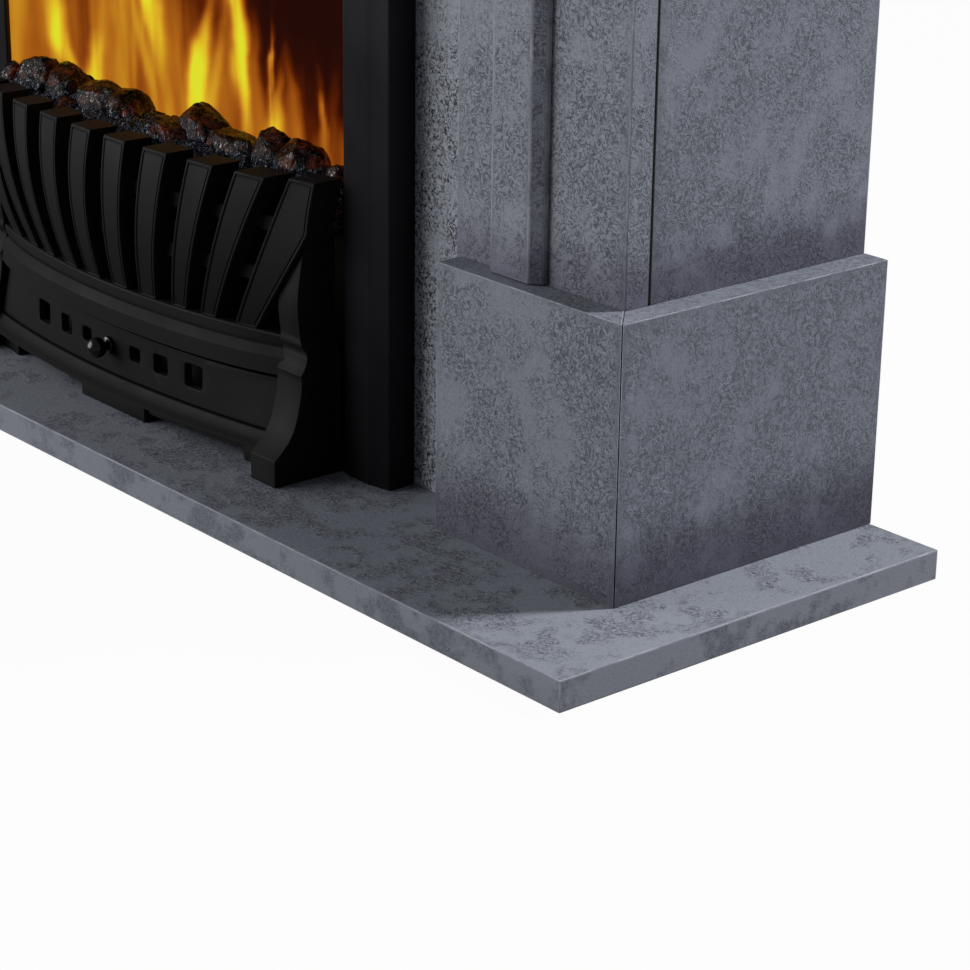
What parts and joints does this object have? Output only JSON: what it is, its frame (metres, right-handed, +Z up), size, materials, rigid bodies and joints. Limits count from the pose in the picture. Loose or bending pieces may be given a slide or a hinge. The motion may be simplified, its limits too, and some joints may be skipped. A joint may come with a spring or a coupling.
{
  "type": "electric fireplace suite",
  "caption": "Stone-effect board mantel on a hearth slab with an inset electric fire: bowed basket front, glowing coals, lit flame screen, sliding ash pan and switches in the head",
  "frame": {"origin": "centre of the hearth slab's underside", "axes": "+X to the right as one faces the fire, +Y back to the wall, +Z up"},
  "size_m": [1.1, 0.318, 1],
  "materials": {
    "stone_effect_board": "fibreboard with a matt grey stone-effect coating",
    "softwood": "sawn and planed, bare",
    "zinc_plated_steel": "bright zinc plate",
    "bare_steel": "galvanised sheet",
    "black_enamel": "matt black heat-proof paint",
    "gloss_black_plastic": "gloss black moulding",
    "black_rubber": "matt",
    "glazed_coal": "glossy moulded coals, lit from below",
    "flame_screen": "translucent screen with a lit flame pattern",
    "lamp_board": "white circuit board with lamps",
    "thermostat_plastic": "ivory moulding",
    "heater_ceramic": "finned ceramic element"
  },
  "bodies": {
    "suite": {"hearth_slab": "stone_effect_board", "plinth_front_left": "stone_effect_board", "plinth_front_right": "stone_effect_board", "plinth_side_left": "stone_effect_board", "plinth_side_right": "stone_effect_board", "column_front_left": "stone_effect_board", "column_front_right": "stone_effect_board", "column_side_left": "stone_effect_board", "column_side_right": "stone_effect_board", "capital_front_left": "stone_effect_board", "capital_front_right": "stone_effect_board", "capital_side_left": "stone_effect_board", "capital_side_right": "stone_effect_board", "pilaster_strip_left": "stone_effect_board", "pilaster_strip_right": "stone_effect_board", "frieze_board": "stone_effect_board", "frieze_strip": "stone_effect_board", "surround_panel": "stone_effect_board", "shelf_moulding": "stone_effect_board", "shelf_board": "stone_effect_board", "corner_cleat_left": "softwood", "corner_cleat_right": "softwood", "rear_rail_top": "softwood", "rear_rail_foot": "softwood", "wall_bracket_left": "zinc_plated_steel", "wall_bracket_right": "zinc_plated_steel", "pan_runner_left": "zinc_plated_steel", "pan_runner_right": "zinc_plated_steel", "heater_housing": "bare_steel", "impeller_motor": "bare_steel", "drum_motor": "bare_steel", "trim_frame": "black_enamel", "casing": "black_enamel", "back_cover": "black_enamel", "fret": "black_enamel", "ember_shelf": "black_enamel", "outlet_grille": "black_enamel", "control_panel": "black_enamel", "impeller_bush": "black_enamel", "drum_bush": "black_enamel", "mains_gland": "black_rubber", "fuel_bed": "glazed_coal", "flame_screen": "flame_screen", "lamp_strip": "lamp_board", "thermostat_body": "thermostat_plastic", "heating_element": "heater_ceramic"},
    "ash_pan": {"ash_pan_front": "black_enamel", "ash_pan_tray": "black_enamel", "ash_pan_knob": "gloss_black_plastic", "knob_nut": "zinc_plated_steel"},
    "rocker_1": {"rocker_switch_1": "gloss_black_plastic"},
    "rocker_2": {"rocker_switch_2": "gloss_black_plastic"},
    "rocker_3": {"rocker_switch_3": "gloss_black_plastic"},
    "dial": {"thermostat_knob": "gloss_black_plastic"},
    "fan": {"impeller": "bare_steel"},
    "drum": {"flame_drum": "bare_steel"}
  },
  "joints": [
    {"name": "ash_pan_slide", "type": "slide", "parent": "suite", "child": "ash_pan", "axis": [0, -1, 0], "range_m": [0, 0.08]},
    {"name": "rocker_1_tilt", "type": "hinge", "parent": "suite", "child": "rocker_1", "pos_m": [0.1176, -0.0469, 0.5483], "axis": [1, 0, 0], "range_deg": [0, 10]},
    {"name": "rocker_2_tilt", "type": "hinge", "parent": "suite", "child": "rocker_2", "pos_m": [0.1386, -0.0469, 0.5483], "axis": [1, 0, 0], "range_deg": [0, 10]},
    {"name": "rocker_3_tilt", "type": "hinge", "parent": "suite", "child": "rocker_3", "pos_m": [0.1596, -0.0469, 0.5483], "axis": [1, 0, 0], "range_deg": [0, 10]},
    {"name": "dial_turn", "type": "hinge", "parent": "suite", "child": "dial", "pos_m": [0.1971, -0.0489, 0.5483], "axis": [0, 1, 0], "range_deg": [0, 270]},
    {"name": "fan_spin", "type": "hinge", "parent": "suite", "child": "fan", "pos_m": [-0.0696, 0.0352, 0.56735], "axis": [1, 0, 0], "continuous": true},
    {"name": "drum_spin", "type": "hinge", "parent": "suite", "child": "drum", "pos_m": [-0.0051, 0.0241, 0.2203], "axis": [1, 0, 0], "continuous": true}
  ]
}
